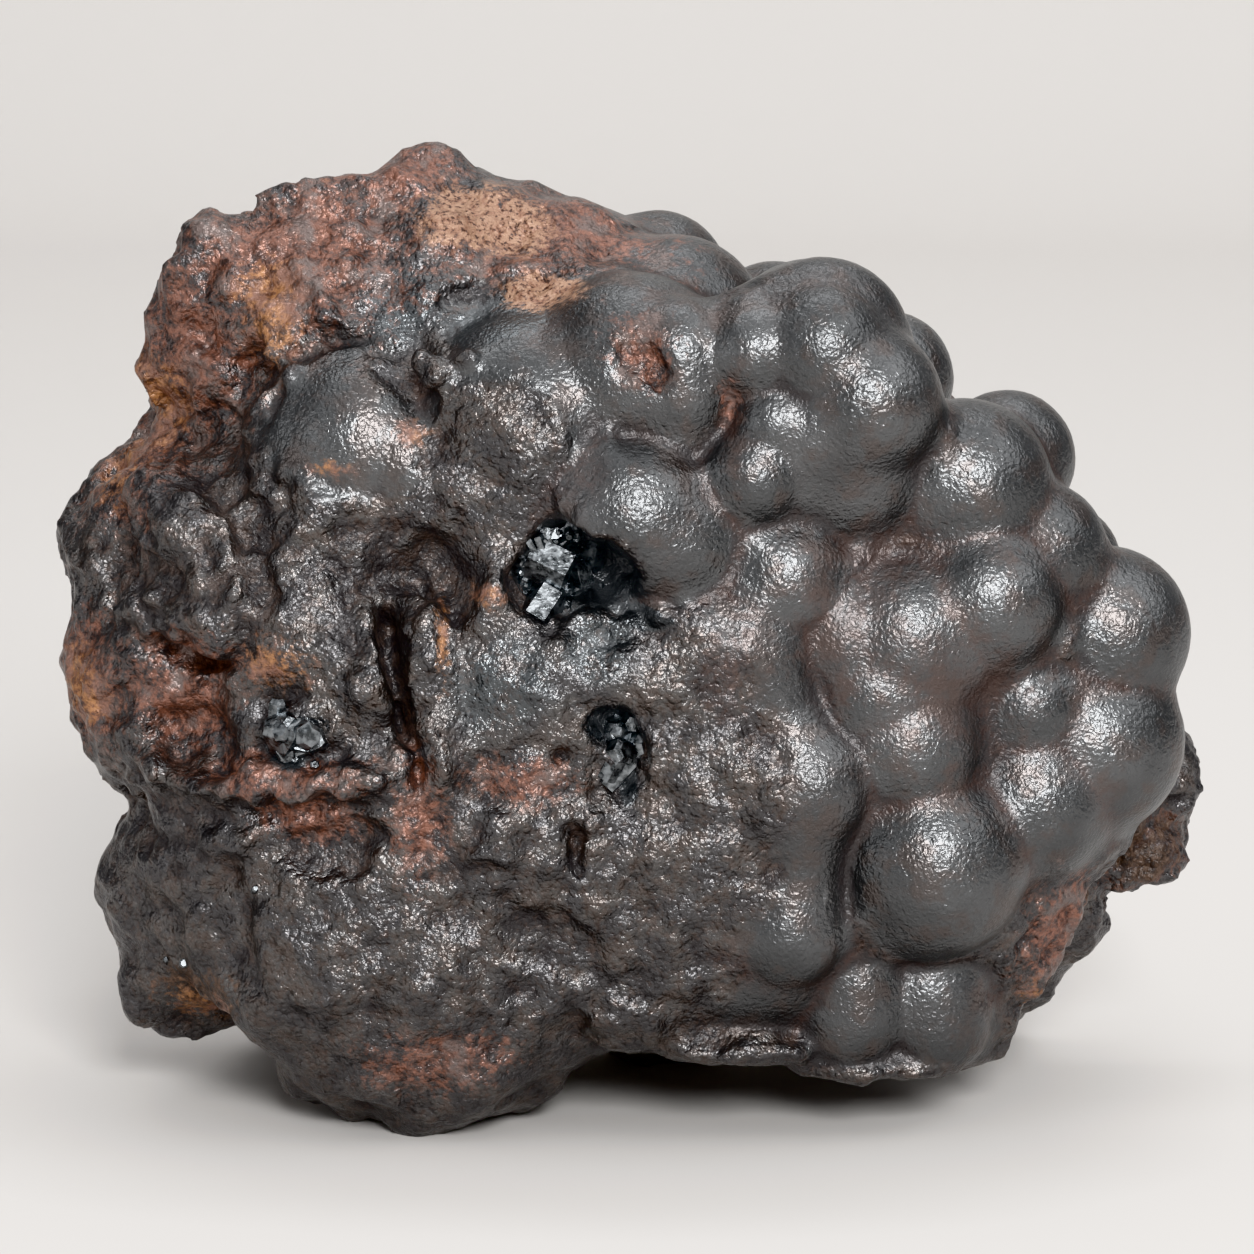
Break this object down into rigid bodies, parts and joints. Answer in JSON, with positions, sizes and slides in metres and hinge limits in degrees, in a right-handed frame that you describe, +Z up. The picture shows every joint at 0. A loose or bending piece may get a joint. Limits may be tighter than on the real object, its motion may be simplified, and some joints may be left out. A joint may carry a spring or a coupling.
{
  "type": "botryoidal hematite specimen",
  "caption": "Hand specimen of kidney ore: rounded, satin-dark hematite lobes grown on a broken rusty mass, with a crystal-lined vug, resting on its worn underside.",
  "frame": {"origin": "middle of the bounding box, on the surface that the specimen rests on", "axes": "+Z up, -Y towards the display side, +X towards the lobed end"},
  "size_m": [0.1164, 0.0605, 0.0965],
  "materials": {
    "hematite": "submetallic, satin on the lobes, rough and rusty where broken",
    "specular_crystal": "bright black crystal faces"
  },
  "bodies": {
    "root": {"hematite_mass": "hematite", "vug_crystal_crust": "specular_crystal"}
  },
  "joints": []
}
